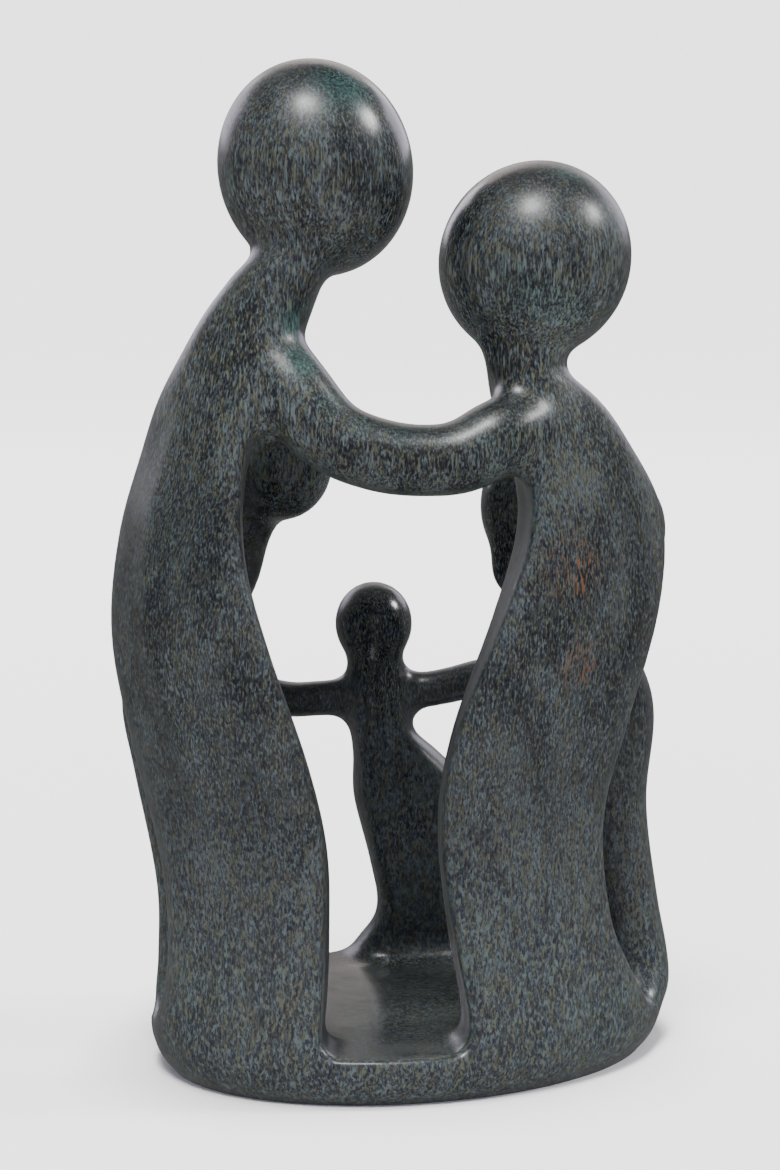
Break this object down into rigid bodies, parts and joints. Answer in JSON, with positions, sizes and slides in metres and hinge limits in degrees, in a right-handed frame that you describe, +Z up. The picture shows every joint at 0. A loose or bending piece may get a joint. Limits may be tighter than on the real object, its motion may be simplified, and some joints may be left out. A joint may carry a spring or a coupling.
{
  "type": "family group sculpture",
  "caption": "Polished green stone carving of a family standing in a ring with joined arms, plain oval heads and one shared base.",
  "frame": {"origin": "on the flat underside, under the middle of the ring of figures", "axes": "+Z up; -Y is the side with the opening between the two tall figures; +X is to the right seen from there"},
  "size_m": [0.1582, 0.1304, 0.2812],
  "materials": {
    "polished_serpentine": "hand-polished and waxed"
  },
  "bodies": {
    "root": {"family_group": "polished_serpentine"}
  },
  "joints": []
}
